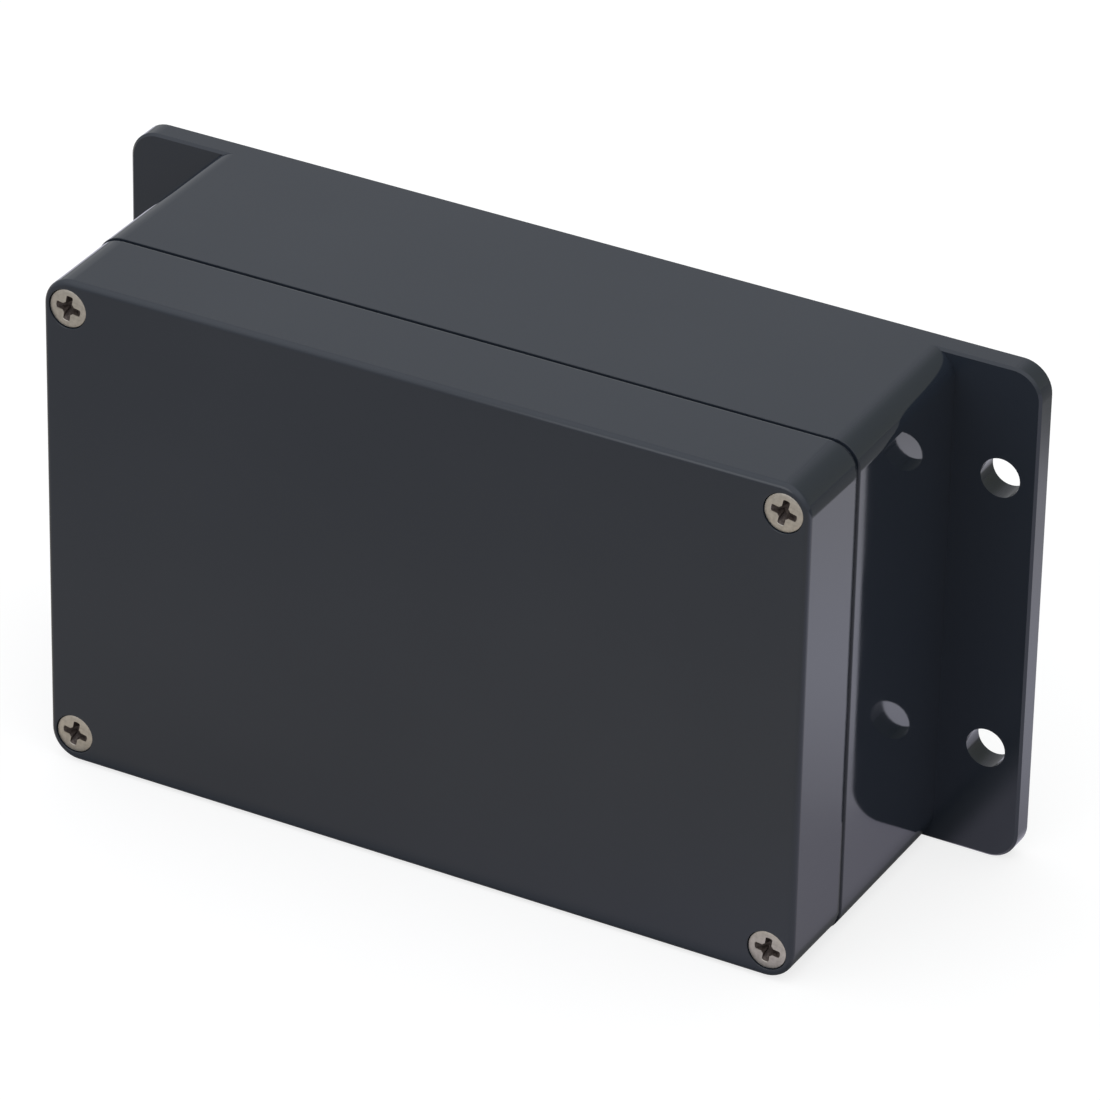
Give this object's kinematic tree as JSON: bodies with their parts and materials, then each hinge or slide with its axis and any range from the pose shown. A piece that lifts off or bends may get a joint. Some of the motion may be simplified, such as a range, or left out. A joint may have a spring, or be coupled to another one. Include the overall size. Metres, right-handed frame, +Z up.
{
  "type": "plastic project box",
  "caption": "Sealed plastic box for a circuit board, with a screwed lid over a gasket and end flanges drilled for wall fixing; the screws back out and the lid lifts off.",
  "frame": {"origin": "bottom centre of the bounding box: midway along the box, midway in its depth, at the lower edge of the flange", "axes": "+X along the box, +Y from the lid to the wall side, +Z up across the box"},
  "size_m": [0.194, 0.064, 0.1048],
  "materials": {
    "body": "smooth moulded satin gloss",
    "gasket": "matt",
    "screw": "plated, lightly worn",
    "insert": "knurled"
  },
  "bodies": {
    "base": {"base_shell": "body", "insert_top_left": "insert", "insert_top_right": "insert", "insert_bottom_left": "insert", "insert_bottom_right": "insert"},
    "lid": {"lid_cover": "body", "lid_gasket": "gasket"},
    "screw_top_left_body": {"screw_top_left": "screw"},
    "screw_top_right_body": {"screw_top_right": "screw"},
    "screw_bottom_left_body": {"screw_bottom_left": "screw"},
    "screw_bottom_right_body": {"screw_bottom_right": "screw"}
  },
  "joints": [
    {"name": "lid_off", "type": "slide", "parent": "base", "child": "lid", "axis": [0, -1, 0], "range_m": [0, 0.1]},
    {"name": "screw_top_left_out", "type": "slide", "parent": "lid", "child": "screw_top_left_body", "axis": [0, -1, 0], "range_m": [0, 0.03]},
    {"name": "screw_top_right_out", "type": "slide", "parent": "lid", "child": "screw_top_right_body", "axis": [0, -1, 0], "range_m": [0, 0.03]},
    {"name": "screw_bottom_left_out", "type": "slide", "parent": "lid", "child": "screw_bottom_left_body", "axis": [0, -1, 0], "range_m": [0, 0.03]},
    {"name": "screw_bottom_right_out", "type": "slide", "parent": "lid", "child": "screw_bottom_right_body", "axis": [0, -1, 0], "range_m": [0, 0.03]}
  ]
}
